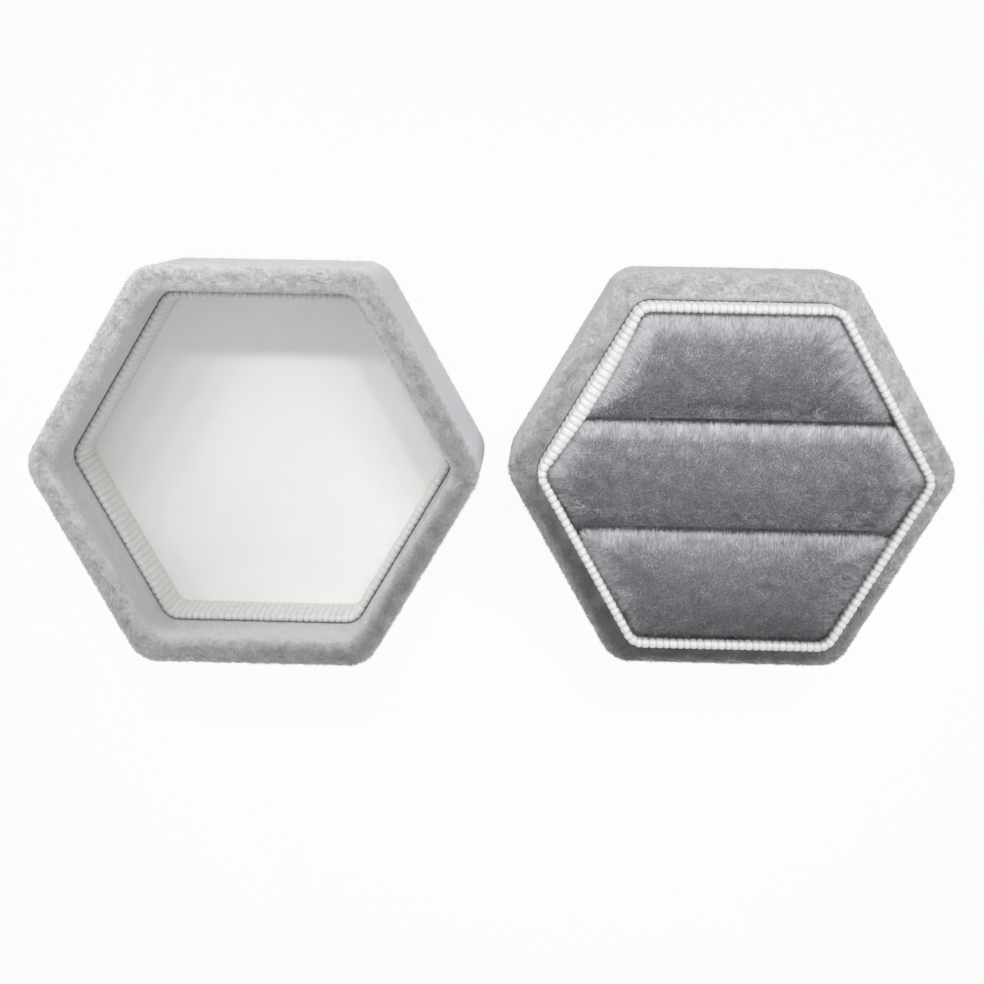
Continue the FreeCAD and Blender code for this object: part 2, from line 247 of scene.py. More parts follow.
def velvet_section(height, mouth, wall, inner, swell_in):
    """Section of the velvet from the middle of its underside, round the wall, to that of its inner face.

    Each row is (flat, corner, z, share of wall pile, share of rim pile, share of flat pile). The skin lies
    below the outer form by the depth of its pile. Rounds: flat = centre + r * cos, z = centre + r * sin.
    Deep in the mouth it swells in.
    """
    pressed, short, deep, lining = 0.10, 0.22, 0.40, 0.10
    foot, rim, thick = 1.8, 1.6, 1.0
    flat_rows, foot_turns = 14, arc(-90, 0, 8)
    rows = [(flat, flat * 0.17, pressed, 0.0, 0.0) for flat in np.linspace(0.3, 24.0, flat_rows)]
    for turn in foot_turns:
        radius = foot - pressed - (short - pressed) * (1 + np.sin(turn))
        rows.append((OUTER_FLAT - foot + radius * np.cos(turn), 4.4, foot + radius * np.sin(turn),
                     1 + np.sin(turn), 0.0))
    for level in np.arange(foot, height - rim, 0.5):
        rows.append((OUTER_FLAT - short, 4.3, level, 1.0, 0.0))
    for turn in arc(0, 90, ROUND_ROWS):
        radius = rim - short - (deep - short) * np.sin(turn)
        rows.append((OUTER_FLAT - rim + radius * np.cos(turn), 4.3 - 0.4 * turn,
                     height - rim + radius * np.sin(turn), 1 - np.sin(turn), np.sin(turn)))
    for flat in np.linspace(OUTER_FLAT - rim, mouth + inner, RIM_ROWS, endpoint=False):
        rows.append((flat, 3.6, height - deep, 0.0, 1.0))
    for turn in arc(90, 180, ROUND_ROWS):
        radius = inner - lining - (deep - lining) * np.sin(turn)
        rows.append((mouth + inner + radius * np.cos(turn), 3.0, height - inner + radius * np.sin(turn), 0.0,
                     0.4 + 0.6 * np.sin(turn)))
    for level in np.linspace(height - inner, height - 11.0, 16):
        swollen = swell_in * np.clip((height - 6.5 - level) / 2.5, 0, 1)
        rows.append((mouth + lining - swollen, 2.8, level, 0.0, 0.4))
    rows.append((mouth + lining, 2.8, 3.05, 0.0, 0.0))
    rows.append((wall - 0.02, 3.6, 3.05, 0.0, 0.0))
    rows.append((wall - 0.02, 3.6, height - thick + 0.02, 0.0, 0.0))
    rows.append((25.02, 3.5, height - thick + 0.02, 0.0, 0.0))
    rows.append((25.02, 3.5, thick - 0.02, 0.0, 0.0))
    rows.append((2.0, 0.4, thick - 0.02, 0.0, 0.0))
    under = np.zeros(len(rows))
    under[:flat_rows] = 1
    under[flat_rows:flat_rows + len(foot_turns)] = -np.sin(foot_turns)
    return np.column_stack([rows, under])


def velvet_skin(section, centre, columns, crush, seed):
    """The velvet's grid: its section carried round the outline, with crushed nap as a soft relief.

    point = outline(section, turn) + normal * crush * ripple, only where the section carries pile.
    """
    turn = np.arange(columns) * 6 / columns
    plan = six_sided(section[:, 0:1], section[:, 1:2], turn[None, :])
    level = np.broadcast_to(section[:, 2:3], plan.shape[:2])
    grid = np.concatenate([plan, level[..., None]], axis=-1)
    grid[..., 0] += centre
    relief = 0.65 * ripple(grid, 1.7, seed) + 0.35 * ripple(grid, 0.8, seed + 1)
    nap = 0.4 * (section[:, 3:4] + section[:, 5:6]) + section[:, 4:5]
    return grid + grid_normals(grid) * (crush * relief * nap)[..., None]


def scatter_roots(grid, density, seed):
    """Random places on a grid, density of them for each square millimetre of a row.

    Gives a reader of any field of the grid at those places, the direction along the row, the row and the
    dice. The density is a value for each row or for each point. A field in a cell is (1 - a)(1 - b) F00 +
    a (1 - b) F01 + (1 - a) b F10 + a b F11.
    """
    rng = np.random.default_rng(seed)
    right = np.roll(grid, -1, axis=1)
    side, up = right[:-1] - grid[:-1], grid[1:] - grid[:-1]
    area = np.linalg.norm(np.cross(side, up), axis=-1)
    density = np.reshape(density, (len(grid), -1))
    wanted = area * (density[:-1] + density[1:]) / 2
    count = np.floor(wanted + rng.random(wanted.shape)).astype(int)
    i, j = np.nonzero(count)
    i, j = np.repeat(i, count[i, j]), np.repeat(j, count[i, j])
    a, b = rng.random((2, len(i), 1))
    after = (j + 1) % grid.shape[1]

    def between(field):
        return ((1 - a) * (1 - b) * field[i, j] + a * (1 - b) * field[i, after]
                + (1 - a) * b * field[i + 1, j] + a * b * field[i + 1, after])
    along = side[i, j]
    along /= np.maximum(np.linalg.norm(along, axis=-1, keepdims=True), 1e-9)
    return between, along, i + b[:, 0], rng


def make_pile(name, roots, out, direction, length, width, tone, rng):
    """Pile as slim closed spikes of four faces: three corners round the root and one at the tip.

    tip = root + direction * length. The map holds the fibre's tone across and its height upwards. Each
    fibre takes light on its upper side: shade = 1.5 * out - direction * (out . direction).
    """
    count = len(roots)
    roots = roots - out * 0.05
    shade = 1.5 * out - direction * (out * direction).sum(axis=-1, keepdims=True)
    shade /= np.linalg.norm(shade, axis=-1, keepdims=True)
    first = np.cross(direction, rng.normal(size=(count, 3)))
    first /= np.linalg.norm(first, axis=-1, keepdims=True)
    second = np.cross(direction, first)
    turn = np.radians([0.0, 120.0, 240.0])
    ring = roots[:, None] + 0.5 * width[:, None, None] * (first[:, None] * np.cos(turn)[:, None]
                                                           + second[:, None] * np.sin(turn)[:, None])
    tip = roots + direction * length[:, None]
    tip[:, 2] = np.maximum(tip[:, 2], 0.02)
    points = np.concatenate([ring, tip[:, None]], axis=1).reshape(-1, 3)
    corners = np.array([[0, 1, 3], [1, 2, 3], [2, 0, 3], [0, 2, 1]])
    faces = (np.arange(count)[:, None, None] * 4 + corners).reshape(-1, 3)
    piece = make_piece(name, points, faces)
    piece.data.normals_split_custom_set_from_vertices(np.repeat(shade, 4, axis=0).tolist())
    across = np.clip(tone, 0.02, 0.98)[:, None, None] + np.array([[-0.01, 0.01, 0.0]] * 4)
    height = np.broadcast_to([[0.02, 0.02, 0.98]] * 3 + [[0.02, 0.03, 0.02]], across.shape)
    layer = piece.data.uv_layers.new(name="OFBake")
    layer.uv.foreach_set("vector", np.stack([across, height], axis=-1).astype(np.float32).ravel())
    return piece


def pile_finish(name, deep, low, high, sheen):
    """Pile from root to tip, by the fibre's own tone, with painted shade at the roots: pale fibres have paler
    roots.

    tip = low + (high - low) * tone, root = deep + (high - deep) * tone squared; deep is painted shade down in
    the pile.
    """
    material, tree, shader, _ = new_material(name)
    fibre_map = add_node(tree, "ShaderNodeUVMap", uv_map="OFBake")
    spot = add_node(tree, "ShaderNodeSeparateXYZ", {"Vector": fibre_map.outputs["UV"]})
    rise = add_node(tree, "ShaderNodeMapRange",
                    {"Value": spot.outputs["Y"], "From Min": 0.0, "From Max": 0.9})
    pale = add_node(tree, "ShaderNodeMath", {0: spot.outputs["X"], 1: 2.0}, operation="POWER")
    tip = add_mix(tree, spot.outputs["X"], (*low, 1), (*high, 1))
    # Painted shade: the roots are darker, as down in the pile.
    root = add_mix(tree, pale.outputs[0], (*deep, 1), (*high, 1))
    fibre = add_mix(tree, rise.outputs["Result"], root, tip)
    tree.links.new(fibre, shader.inputs["Base Color"])
    shader.inputs["Roughness"].default_value = 0.85
    shader.inputs["Specular IOR Level"].default_value = 0.15
    shader.inputs["Sheen Weight"].default_value = sheen
    shader.inputs["Sheen Roughness"].default_value = 0.45
    shader.inputs["Sheen Tint"].default_value = (0.95, 0.95, 1.0, 1)
    return material


def carry_tone_and_light(piece, nap):
    """Write the tone of the nap, with its painted light and shade, from 0 to 1, on the points of a backing.
    """
    layer = piece.data.attributes.new("nap", "FLOAT", "POINT")
    layer.data.foreach_set("value", np.clip(nap, 0, 1).astype(np.float32))


def backing_finish(name, low, high, grain, sheen):
    """Velvet seen between the fibres: low to high by the nap on its points, which holds painted light and
    shade, speckled down to grain.
    """
    material, tree, shader, place = new_material(name)
    nap = add_node(tree, "ShaderNodeAttribute", attribute_name="nap")
    # Painted light and shade: the nap attribute carries them into the ground tone.
    ground = add_mix(tree, nap.outputs["Fac"], (*low, 1), (*high, 1))
    fine = add_speckle(tree, place, 2600.0, (grain, grain, grain), (1.0, 1.0, 1.0), 0.3, 0.7)
    tone = add_mix(tree, 1.0, ground, fine.outputs["Color"], blend_type="MULTIPLY")
    tree.links.new(tone, shader.inputs["Base Color"])
    shader.inputs["Roughness"].default_value = 0.9
    shader.inputs["Specular IOR Level"].default_value = 0.12
    shader.inputs["Sheen Weight"].default_value = sheen
    shader.inputs["Sheen Roughness"].default_value = 0.5
    shader.inputs["Sheen Tint"].default_value = (0.95, 0.95, 1.0, 1)
    add_bump(tree, shader, fine.outputs["Mask"], 0.6, 0.0002)
    return material


case_backing = backing_finish("case_velvet_backing", (0.20, 0.20, 0.205), (0.92, 0.92, 0.93), 0.84, 1.0)
# The base's pile is a darker copy of the same velvet as the lid's: painted shade.
case_pile = {
    "base": pile_finish("base_velvet_pile_painted_shade", (0.17, 0.17, 0.175), (0.21, 0.21, 0.215),
                        (0.97, 0.97, 0.975), 0.3),
    "lid": pile_finish("lid_velvet_pile", (0.27, 0.27, 0.28), (0.32, 0.32, 0.33),
                       (0.98, 0.98, 0.99), 0.45)}


def velvet_case(half, centre, height, mouth, wall, inner, swell_in, crush, brushed_and_lit_angle, pale, dim, spread, seed):
    """Skin of one half of the box with the flat nap of its wall and the crushed nap of its rim and lining.

    The lining's fibres lean almost flat, so that their tips keep off the collar when the box is closed. The
    tone of the rim and lining holds painted light on the side towards the lamps and painted shade on the far
    side.
    """
    def nap_lie_and_painted_light(points, rim, lined):
        """How far the nap lies down at some points, and its tone, with painted light and shade on the rim.

        It lies down on the side that faces the brushed angle, the side towards the lamps, and stands up on
        the far
        side: lie_and_light = (1 + cos(angle - brushed_and_lit_angle)) / 2. Its tone is pale on the wall, and
        on the rim dim + spread * lie_and_light * (1.5 - lie_and_light / 2): painted light on the side towards
        the lamps and painted shade on the far side. It is less in crushed spots, and painted shade darkens
        the far side of the lining.
        """
        angle = np.arctan2(points[..., 1], points[..., 0] - centre)
        lie_and_light = 0.5 + 0.5 * np.cos(angle - np.radians(brushed_and_lit_angle))
        rim_tone_and_light = dim + spread * lie_and_light * (1.5 - 0.5 * lie_and_light)
        spots = 0.14 * crush * rim * np.clip(ripple(points, 3.0, seed + 12) - 0.6, 0, 1)
        tone = pale * (1 - rim) + rim * rim_tone_and_light + (0.01 + 0.05 * rim) * ripple(points, 2.4, seed + 10)
        return lie_and_light, tone - spots - 0.12 * lined * (1 - lie_and_light)
    lining_lean = 85.5
    section = velvet_section(height, mouth, wall, inner, swell_in)
    wall_share, rim_share, flat_share = section[:, 3:].T
    number = np.arange(len(section))
    crest = np.argmax(rim_share)
    lining = crest + RIM_ROWS + ROUND_ROWS
    grid = velvet_skin(section, centre, 600, 0.05 * crush, seed)
    normals = grid_normals(grid)
    skin = closed_grid(f"{half}_velvet_skin", grid)
    # The skin's tone: the wall's own pale tone, and painted light and shade on the rim and lining.
    tones = nap_lie_and_painted_light(grid, rim_share[:, None], (number > lining)[:, None])[1]
    carry_tone_and_light(skin, np.append(tones.ravel(), [pale, pale]))
    skin.data.materials.append(case_backing)
    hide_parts(f"{half}_velvet")
    pieces = [skin]
    rim_density = np.where(number > lining, 0.5, 1.0) * rim_share * 33.0
    for nap, density in (("wall", wall_share * 9.0), ("rim", rim_density), ("flat", flat_share * 8.0)):
        between, along, row, rng = scatter_roots(grid, density, seed + len(nap))
        roots, out = between(grid), between(normals)
        up = np.cross(out, along)
        count = len(roots)
        rim = np.interp(row, number, rim_share)
        # Tone with painted light towards the lamps and painted shade on the far side; how far the nap lies
        # also sets its lean.
        lie_and_light, tone = nap_lie_and_painted_light(roots, rim, row > lining)
        inside = row > crest + RIM_ROWS
        swirl = np.radians(np.where(inside, 90, -90) * (1 - rim))
        swirl += (0.3 + 0.6 * crush * rim) * ripple(roots, 3.0, seed + 7)
        swirl += (0.2 + 0.6 * crush * rim) * ripple(roots, 0.8, seed + 8) + rng.normal(0, 0.25, count)
        lean = 82 - 4 * rim - 10 * rim * (1 - lie_and_light) + 4 * rim * ripple(roots, 1.2, seed + 9)
        lean += rng.normal(0, 3, count)
        lean = np.radians(np.where(inside, np.maximum(lean, lining_lean), lean))[:, None]
        if nap == "flat":
            along, up = np.array([(1.0, 0.0, 0.0), (0.0, -1.0, 0.0)])
        flat_way = along * np.cos(swirl)[:, None] + up * np.sin(swirl)[:, None]
        flat_way -= out * (flat_way * out).sum(axis=-1, keepdims=True)
        flat_way /= np.maximum(np.linalg.norm(flat_way, axis=-1, keepdims=True), 1e-9)
        length = rng.uniform(0.60, 0.85, count)
        width = rng.uniform(0.09, 0.13, count)
        fleck = 0.16 * crush * rim * ripple(roots, 0.7, seed + 11)
        fleck += rng.normal(0, 0.04 + 0.14 * crush * rim, count)
        tone += fleck * (0.6 + 0.4 * lie_and_light)
        pile = make_pile(f"{half}_{nap}_pile", roots, out, out * np.cos(lean) + flat_way * np.sin(lean),
                         length, width, tone, rng)
        pile.data.materials.append(case_pile[half])
        pieces.append(pile)
    for piece in pieces:
        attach(piece, half)
    return pieces


# The base's pale and dim are lower than the lid's on the same velvet: painted shade. Each brushed angle
# points towards the lamps of its half.
base_skin, *base_pile = velvet_case(
    "base", BASE_X, height=20.0, mouth=22.2, wall=23.2, inner=0.8, swell_in=0.0, crush=0.7, brushed_and_lit_angle=72,
    pale=0.68, dim=0.01, spread=0.70, seed=11)
lid_skin, *lid_pile = velvet_case(
    "lid", LID_X, height=26.0, mouth=22.45, wall=23.45, inner=1.2, swell_in=0.36, crush=1.0, brushed_and_lit_angle=140,
    pale=0.80, dim=0.19, spread=0.54, seed=31)
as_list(base_pile)
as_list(lid_pile)


# Collar cards: a strip of grey board bent into a six-sided ring in each half, standing on the shell's
# floor. The base's ring stands proud of the rim and centres the lid; only its ribbon shows.


def grey_board():
    material, tree, shader, place = new_material("grey_board")
    long_fibre = add_node(tree, "ShaderNodeMapping", {"Vector": place, "Scale": (1.0, 1.0, 6.0)})
    fibre = add_speckle(tree, long_fibre.outputs["Vector"], 1400.0, (0.50, 0.49, 0.46), (0.66, 0.65, 0.62))
    tree.links.new(fibre.outputs["Color"], shader.inputs["Base Color"])
    shader.inputs["Roughness"].default_value = 0.9
    add_bump(tree, shader, fibre.outputs["Mask"], 0.3, 0.00006)
    return material


board_finish = grey_board()
for card in ("collar_card", "lid_collar_card"):
    dress_node(card, board_finish)


# Collar ribbons: off-white ribbed ribbon folded over the free edge of each card ring and glued down.
# Its ribs run across the fold like thick cords, 168 round each ring, and scallop the top edge.

RIB_COUNT, RIB_STEPS = 168, 8


def ribbed_ribbon(name, centre, top, outer, outer_low, inner_low, relief, fade, loose, seed):
    """The folded ribbon as a section carried round the card, closed on itself both ways.

    Fold: offset = r * cos(a), z = bend + r * sin(a) over the top, straight legs below. Ribs: r falls by
    relief * (1 - sqrt(1 - (2f - 1)^2)) at the fraction f of a rib, so each rib is a round cord, pressed
    flat by fade towards the foot of the inner leg. On one side the fold is loose and bulges inwards by
    loose * sin(pi * run).
    """
    card, inner = 0.21, 0.48
    leg_rows, fold_rows = 8, 15
    bend = top - outer
    fold = np.radians(np.linspace(0, 180, fold_rows))
    leg_out = np.linspace(outer_low, bend, leg_rows, endpoint=False)
    leg_in = np.linspace(bend, inner_low, leg_rows + 1)[1:]
    straight_leg = np.zeros(leg_rows)
    radius = np.concatenate([straight_leg + outer, np.linspace(outer, inner, fold_rows),
                             straight_leg + inner])
    side = np.concatenate([straight_leg + 1, np.cos(fold), straight_leg - 1])
    level = np.concatenate([leg_out, bend + np.sin(fold) * outer, leg_in])
    lift = np.concatenate([straight_leg, np.sin(fold), straight_leg])
    back_turn = np.radians(np.linspace(180, 0, 7))
    back_side = np.concatenate([[-1.0], np.cos(back_turn), [1.0]])
    back_level = np.concatenate([[inner_low], top - 0.31 + 0.02 * np.sin(back_turn), [outer_low]])
    rng = np.random.default_rng(seed)
    steps = np.arange(RIB_COUNT * RIB_STEPS)
    share = (steps % RIB_STEPS) / RIB_STEPS
    cord = np.sqrt(1 - (2 * share - 1) ** 2)
    rib = steps // RIB_STEPS
    shift = rng.normal(0, 0.05, RIB_COUNT)
    place = (steps + RIB_STEPS * ((1 - share) * shift[rib] + share * np.roll(shift, -1)[rib])) / RIB_STEPS
    fall = relief * (1 + rng.normal(0, 0.10, RIB_COUNT))[rib] * (1 - cord)
    slant = 0.16 * np.sin(2 * np.pi * 5 * rib / RIB_COUNT + 1.0) + rng.normal(0, 0.03, RIB_COUNT)[rib]
    along = place[None, :] + slant[None, :] * (np.arange(len(side))[:, None] / len(side) - 0.5)
    pressed = np.concatenate([np.ones(leg_rows + fold_rows), np.linspace(1, 1 - fade, leg_rows)])
    reach = radius[:, None] - fall[None, :] * pressed[:, None]
    front = np.stack([reach * side[:, None], level[:, None] - lift[:, None] * fall[None, :]], axis=-1)
    back = np.stack([card * back_side, back_level], axis=-1)[:, None]
    section = np.concatenate([front, np.repeat(back, len(steps), axis=1)])
    along = np.concatenate([along, np.broadcast_to(place, (len(back_side), len(steps)))])
    flat, corner = 21.58, 2.08
    straight, bow = 2 * (flat - corner) * np.tan(np.radians(30)), corner * np.radians(60)
    whole, rest = np.divmod(along / RIB_COUNT * 6 * (straight + bow), straight + bow)
    part = np.where(rest < straight, rest / straight * SIDE_SHARE,
                    SIDE_SHARE + (rest - straight) / bow * (1 - SIDE_SHARE))
    bulge = loose * np.where(whole % 6 == 2, np.sin(np.pi * np.clip(part / SIDE_SHARE, 0, 1)), 0)
    slack = np.concatenate([straight_leg, np.maximum(-np.cos(fold), 0), np.linspace(1, 0, leg_rows),
                            np.zeros(len(back_side))])
    section[..., 0] -= bulge * slack[:, None]
    plan = six_sided(flat + section[..., 0], corner + section[..., 0], whole % 6 + np.minimum(part, 0.999999))
    grid = np.concatenate([plan, section[..., 1:2]], axis=-1)
    grid[..., 0] += centre
    rows, columns = grid.shape[:2]
    faces = grid_faces(rows, columns, ring=True)
    piece = make_piece(name, grid.reshape(-1, 3), faces)
    corner_row, corner_column = faces // columns, faces % columns
    last_column, last_row = corner_column[:, :1] == columns - 1, corner_row[:, :1] == rows - 1
    corner_column = np.where((corner_column == 0) & last_column, columns, corner_column)
    corner_row = np.where((corner_row == 0) & last_row, rows, corner_row)
    spots = np.stack([corner_column / RIB_STEPS, corner_row / rows], axis=-1)
    layer = piece.data.uv_layers.new(name="ribbon")
    layer.uv.foreach_set("vector", spots.astype(np.float32).ravel())
    return piece


def ribbon_finish():
    """Ribbed ribbon: threads wound across each cord, with painted shade between the cords."""
    material, tree, shader, place = new_material("ribbed_ribbon")
    spot = add_node(tree, "ShaderNodeUVMap", uv_map="ribbon")
    cell = add_node(tree, "ShaderNodeSeparateXYZ", {"Vector": spot.outputs["UV"]})
    part = add_node(tree, "ShaderNodeMath", {0: cell.outputs["X"]}, operation="FRACT")
    away = add_node(tree, "ShaderNodeMath", {0: part.outputs[0], 1: 0.5}, operation="SUBTRACT")
    edge = add_node(tree, "ShaderNodeMath", {0: away.outputs[0]}, operation="ABSOLUTE")
    # Painted shade in the grooves between the cords.
    groove_shade = add_node(tree, "ShaderNodeMapRange",
                      {"Value": edge.outputs[0], "From Min": 0.38, "From Max": 0.5},
                      interpolation_type="SMOOTHSTEP")
    body = add_speckle(tree, place, 1500.0, (0.77, 0.77, 0.75), (0.83, 0.83, 0.815))
    tone = add_mix(tree, groove_shade.outputs["Result"], body.outputs["Color"], (0.66, 0.66, 0.64, 1))
    thread = add_node(tree, "ShaderNodeTexWave",
                      {"Vector": spot.outputs["UV"], "Scale": 40.0, "Distortion": 0.6},
                      wave_type="BANDS", bands_direction="Y")
    tree.links.new(tone, shader.inputs["Base Color"])
    shader.inputs["Roughness"].default_value = 0.6
    shader.inputs["Specular IOR Level"].default_value = 0.35
    shader.inputs["Sheen Weight"].default_value = 0.15
    add_bump(tree, shader, thread.outputs["Fac"], 0.25, 0.00004)
    return material


ribbon_cloth = ribbon_finish()
collar_ribbon = ribbed_ribbon(
    "collar_ribbon_ribs", BASE_X, top=26.3, outer=0.66, outer_low=17.35, inner_low=18.4, relief=0.17,
    fade=0.0, loose=0.75, seed=3)
lid_ribbon = ribbed_ribbon(
    "lid_collar_ribbon_ribs", LID_X, top=16.5, outer=0.55, outer_low=8.6, inner_low=7.55, relief=0.15,
    fade=0.8, loose=0.0, seed=4)
for ribbon, node, body in ((collar_ribbon, "collar_ribbon", "base"),
                           (lid_ribbon, "lid_collar_ribbon", "lid")):
    ribbon.data.materials.append(ribbon_cloth)
    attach(ribbon, body)
    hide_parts(node)


# Insert: a block of open-cell foam on the base's floor lifts the ring pad, and a stiff card lies on it.
# Both are out of sight under the rolls, so the card keeps its CAD shape.


def foam_finish():
    material, tree, shader, place = new_material("open_cell_foam")
    cell = add_node(tree, "ShaderNodeTexVoronoi", {"Vector": place, "Scale": 1500.0}, feature="F1")
    tone = add_speckle(tree, place, 700.0, (0.74, 0.73, 0.69), (0.84, 0.83, 0.79))
    tree.links.new(tone.outputs["Color"], shader.inputs["Base Color"])
    shader.inputs["Roughness"].default_value = 0.95
    add_bump(tree, shader, cell.outputs["Distance"], 0.6, 0.0003)
    return material


foam_cells = foam_finish()


def foam_block(name, centre, low, high, flat):
    """Foam block cut to the six-sided plan, its edges softened: inset = r (1 - cos), z = edge + r sin."""
    soft = 0.6
    turn = np.radians(np.linspace(0, 90, 6))
    rows = [(flat * share, low) for share in (0.1, 0.5)]
    rows += [(flat - soft * (1 - np.sin(a)), low + soft * (1 - np.cos(a))) for a in turn]
    rows += [(flat - soft * (1 - np.cos(a)), high - soft * (1 - np.sin(a))) for a in turn]
    rows += [(flat * share, high) for share in (0.5, 0.1)]
    rows = np.array(rows)
    plan = six_sided(rows[:, 0:1], rows[:, 0:1] * 0.1, np.arange(120)[None, :] / 20)
    level = np.broadcast_to(rows[:, 1:2], plan.shape[:2])[..., None]
    grid = np.concatenate([plan, level], axis=-1)
    grid[..., 0] += centre
    piece = closed_grid(name, grid)
    piece.data.materials.append(foam_cells)
    return piece


riser = foam_block("insert_riser_foam", BASE_X, 3.02, 10.78, 20.9)
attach(riser, "base")
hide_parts("insert_riser")
dress_node("insert_card", board_finish)


# Ring pad: three rolls side by side, each a foam core wrapped in mid-grey velvet with a deep pile.
# They fill the collar, and the two slots between them grip a ring's band. The nap leans to the rear.

SIDE_STEPS = 90


def roll_plan(place):
    """The sides of a roll as (facing in degrees, distance from the middle), in order round it."""
    outer, near, far = 20.95, 7.384, 6.783
    if place == "middle":
        return np.array([(30, outer), (90, far), (150, outer), (210, outer), (270, far), (330, outer)])
    if place == "rear":
        return np.array([(30, outer), (90, outer), (150, outer), (270, -near)])
    return np.array([(210, outer), (270, outer), (330, outer), (90, -near)])


def even_round(field, passes):
    """Even out a field round a roll: each column takes half of itself and a quarter of each neighbour."""
    for _ in range(passes):
        field = (np.roll(field, 1, axis=1) + 2 * field + np.roll(field, -1, axis=1)) / 4
    return field


def roll_form(place, section, shift):
    """A roll as a grid: each row is the plan moved in by an inset, at a height, with softened corners.

    Corner of two sides: x = (d1 sin a2 - d2 sin a1) / sin(a2 - a1),
    y = (d2 cos a1 - d1 cos a2) / sin(a2 - a1).
    """
    sides = roll_plan(place)
    angle = np.radians(sides[:, 0])
    reach = sides[:, 1][None, :] - section[:, 0:1]
    before, d0 = np.roll(angle, 1), np.roll(reach, 1, axis=1)
    turn = np.sin(angle - before)
    x = (d0 * np.sin(angle) - reach * np.sin(before)) / turn
    y = (reach * np.cos(before) - d0 * np.cos(angle)) / turn
    start = np.stack([x, y], axis=-1)
    end = np.roll(start, -1, axis=1)
    part = (np.arange(SIDE_STEPS) / SIDE_STEPS)[None, None, :, None]
    plan = (start[:, :, None] * (1 - part) + end[:, :, None] * part).reshape(len(section), -1, 2)
    plan = even_round(plan, 6)
    level = np.broadcast_to(section[:, 1:2], plan.shape[:2])[..., None]
    grid = np.concatenate([plan, level], axis=-1)
    grid[..., 0] += shift
    return grid


def roll_section(skin):
    """Section of a roll from its foot to its ridge as (inset, z), kept back by a skin from the outer form.

    Wall drawn in below, shoulder inset = run (1 - cos), z = top - crown - drop (1 - sin), then a low crown.
    """
    low, top, crown, shoulder, drop, ridge = 12.0, 26.7, 0.4, 2.4, 0.7, 6.783
    rows = [(0.5 + 5.0 * share, low) for share in (1.0, 0.6, 0.3)]
    wall = np.linspace(0, 1, 8, endpoint=False)
    rows += [(0.5 * (1 - w) ** 2, low + w * (top - crown - drop - low)) for w in wall]
    rows += [(shoulder * (1 - np.cos(a)), top - crown - drop * (1 - np.sin(a))) for a in arc(0, 90, 14)]
    flat = np.linspace(shoulder, ridge, 12)
    rows += [(s, top - crown * ((ridge - s) / (ridge - shoulder)) ** 2) for s in flat]
    rows = np.array(rows)
    rows[:, 0] = skin * 0.4 + rows[:, 0] * (1 - skin * 0.4 / ridge)
    rows[:, 1] = np.maximum(rows[:, 1] - skin, low)
    return rows


def weld(grid):
    """Points, quads and triangles of a roll's grid, and the point that each place of the grid became.

    The last row meets itself along the ridge: equal points become one.
    """
    rows, columns = grid.shape[:2]
    places = grid.reshape(-1, 3)
    _, first, joined = np.unique(np.round(places, 4), axis=0, return_index=True, return_inverse=True)
    joined = joined.ravel()
    faces = joined[grid_faces(rows, columns)]
    narrow = faces[:, 2] == faces[:, 3]
    return places[first], faces[~narrow], faces[narrow][:, :3], joined


def swell(points, quads, triangles, held, limit):
    """Let the wrapped velvet fill out over its foam: cloth with inner pressure, held at its foot.

    The form is simulated at 25 times its size; no point moves further than limit, in millimetres.
    """
    size, frames = 25.0, 20
    puff = make_piece("swelling", points * size, quads, triangles)
    puff.vertex_groups.new(name="held").add(np.nonzero(held)[0].tolist(), 1.0, "REPLACE")
    cloth = puff.modifiers.new("cloth", "CLOTH")
    cloth.settings.quality = 6
    cloth.settings.mass = 0.3
    cloth.settings.bending_stiffness = 2.0
    cloth.settings.use_pressure = True
    cloth.settings.uniform_pressure_force = 4.0
    cloth.settings.effector_weights.gravity = 0.0
    cloth.settings.vertex_group_mass = "held"
    cloth.collision_settings.use_collision = False
    cloth.point_cache.frame_start = 1
    cloth.point_cache.frame_end = frames
    for count in range(1, frames + 1):
        bpy.context.scene.frame_set(count)
    result = puff.evaluated_get(bpy.context.evaluated_depsgraph_get()).data
    moved = np.empty(len(points) * 3, np.float32)
    result.vertices.foreach_get("co", moved)
    moved = moved.reshape(-1, 3).astype(float) * 1000 / size - points
    bpy.context.scene.frame_set(1)
    bpy.data.objects.remove(puff)
    far = np.linalg.norm(moved, axis=1, keepdims=True)
    return moved * np.minimum(1, limit / np.maximum(far, 1e-9))


def swollen(grid, step=5):
    """A roll's grid after its velvet has filled out; the cloth is worked out on every fifth column.

    The push is evened out round the roll and up its section, then read between the columns.
    """
    foot, limit, passes = 16.0, 0.30, 6
    coarse = grid[:, ::step]
    points, quads, narrow, joined = weld(coarse)
    push = swell(points, quads, narrow, points[:, 2] < foot, limit)[joined].reshape(coarse.shape)
    push = even_round(push, passes)
    for _ in range(passes):
        push[1:-1] = (push[:-2] + 2 * push[1:-1] + push[2:]) / 4
    share = (np.arange(grid.shape[1]) % step / step)[None, :, None]
    near = np.repeat(push, step, axis=1)
    far = np.repeat(np.roll(push, -1, axis=1), step, axis=1)
    return grid + near * (1 - share) + far * share


roll_backing = backing_finish("pad_velvet_backing", (0.35, 0.356, 0.378), (0.90, 0.91, 0.93), 0.68, 1.0)
roll_pile = pile_finish("pad_velvet_pile", (0.16, 0.164, 0.178), (0.44, 0.448, 0.478),
                        (0.95, 0.962, 0.985), 0.3)


